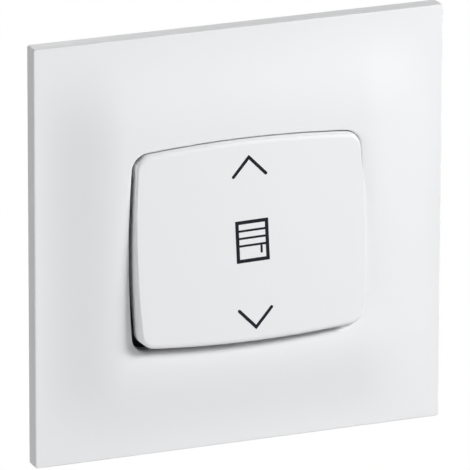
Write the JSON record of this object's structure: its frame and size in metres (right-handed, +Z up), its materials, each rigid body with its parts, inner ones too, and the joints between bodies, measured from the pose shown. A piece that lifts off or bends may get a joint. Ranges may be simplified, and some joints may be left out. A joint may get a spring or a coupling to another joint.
{
  "type": "roller shutter switch",
  "caption": "Flush roller shutter switch: square plate with a swelling front, bowed three-position rocker, support frame and push-in mechanism.",
  "frame": {"origin": "middle of the plate on the wall surface, which is also the middle of the box screw pattern", "axes": "+X right, +Y into the wall, +Z up; the front faces -Y"},
  "size_m": [0.082, 0.0362, 0.082],
  "materials": {
    "white_gloss": "moulded, satin gloss, pure white",
    "grey_plastic": "glass-filled, matt grey",
    "dark_plastic": "moulded, matt anthracite",
    "pale_plastic": "moulded, matt light grey",
    "acetal": "natural, smooth",
    "release_plastic": "moulded, matt orange",
    "brass": "rolled and stamped",
    "silver": "silver contact alloy, turned",
    "zinc_steel": "zinc-plated sheet",
    "spring_steel": "bright spring steel"
  },
  "bodies": {
    "base": {"cover_plate": "white_gloss", "support_frame": "grey_plastic", "mechanism_cover": "dark_plastic", "mechanism_base": "pale_plastic", "common_strip": "brass", "up_strip": "brass", "down_strip": "brass", "up_fixed_rivet": "silver", "down_fixed_rivet": "silver", "common_cage": "zinc_steel", "common_clamp": "spring_steel", "up_cage": "zinc_steel", "up_clamp": "spring_steel", "down_cage": "zinc_steel", "down_clamp": "spring_steel"},
    "rocker": {"rocker_key": "white_gloss", "cradle": "pale_plastic", "detent_spring": "spring_steel"},
    "plunger": {"plunger": "acetal"},
    "contact": {"rocking_contact": "brass", "upper_moving_rivet": "silver", "lower_moving_rivet": "silver"},
    "common_release": {"common_release": "release_plastic"},
    "up_release": {"up_release": "release_plastic"},
    "down_release": {"down_release": "release_plastic"}
  },
  "joints": [
    {"name": "rocker_tilt", "type": "hinge", "parent": "base", "child": "rocker", "pos_m": [0, 0.001, 0], "axis": [1, 0, 0], "range_deg": [0, 8.6]},
    {"name": "plunger_slide", "type": "slide", "parent": "rocker", "child": "plunger", "axis": [0, -0.9972, 0.075], "range_m": [0, 0.0006], "stiffness_N_per_m": 500, "springref_m": -0.002, "deforming": ["detent_spring"]},
    {"name": "contact_tilt", "type": "hinge", "parent": "base", "child": "contact", "pos_m": [0, 0.0136, 0], "axis": [1, 0, 0], "range_deg": [-12.9, 0]},
    {"name": "common_release_slide", "type": "slide", "parent": "base", "child": "common_release", "axis": [0, -1, 0], "range_m": [0, 0.001], "stiffness_N_per_m": 1200, "springref_m": -0.0008, "deforming": ["common_clamp"]},
    {"name": "up_release_slide", "type": "slide", "parent": "base", "child": "up_release", "axis": [0, -1, 0], "range_m": [0, 0.001], "stiffness_N_per_m": 1200, "springref_m": -0.0008, "deforming": ["up_clamp"]},
    {"name": "down_release_slide", "type": "slide", "parent": "base", "child": "down_release", "axis": [0, -1, 0], "range_m": [0, 0.001], "stiffness_N_per_m": 1200, "springref_m": -0.0008, "deforming": ["down_clamp"]}
  ],
  "couplings": [
    {"joint": "contact_tilt", "follows": "rocker_tilt", "ratio": -1.5}
  ]
}
